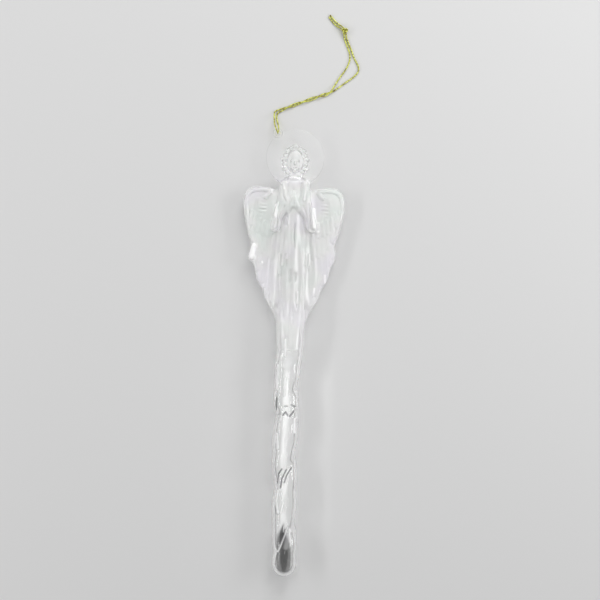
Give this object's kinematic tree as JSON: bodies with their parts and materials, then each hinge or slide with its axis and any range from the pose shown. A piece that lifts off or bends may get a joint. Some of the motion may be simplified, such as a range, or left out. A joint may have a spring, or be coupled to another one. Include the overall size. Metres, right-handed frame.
{
  "type": "icicle hanging ornament",
  "caption": "Clear moulded icicle ornament: a winged angel with praying hands and a halo disc above a twisted icicle drop, with a metallic thread loop for hanging.",
  "frame": {"origin": "bottom centre of the ornament's box as it lies on its flat back, face up, without the thread", "axes": "+Y along the ornament from the icicle's tip to the halo, +X across the wings to the viewer's right, +Z out of the front"},
  "size_m": [0.0378, 0.1891, 0.0098],
  "materials": {
    "clear_plastic": "clear moulded polystyrene, polished, faintly milky on the figure",
    "gold_thread": "twisted metallic thread, yellow-green gold"
  },
  "bodies": {
    "ornament": {"icicle_shaft": "clear_plastic", "icicle_tip": "clear_plastic", "gown_skirt": "clear_plastic", "gown_pleats": "clear_plastic", "gown_bodice": "clear_plastic", "left_sleeve": "clear_plastic", "right_sleeve": "clear_plastic", "praying_hands": "clear_plastic", "neck": "clear_plastic", "head": "clear_plastic", "hair": "clear_plastic", "halo_disc": "clear_plastic", "hanging_eyelet": "clear_plastic", "left_wing": "clear_plastic", "right_wing": "clear_plastic", "left_wing_rim": "clear_plastic", "right_wing_rim": "clear_plastic", "left_wing_feathers": "clear_plastic", "right_wing_feathers": "clear_plastic"},
    "hanging_thread": {"thread_leg_left": "gold_thread", "thread_leg_right": "gold_thread", "thread_knot": "gold_thread"}
  },
  "joints": [
    {"name": "thread_swivel", "type": "hinge", "parent": "ornament", "child": "hanging_thread", "pos_m": [-0.0061, 0.07335, 0.003], "axis": [0, 0, 1], "range_deg": [-45, 80]}
  ]
}
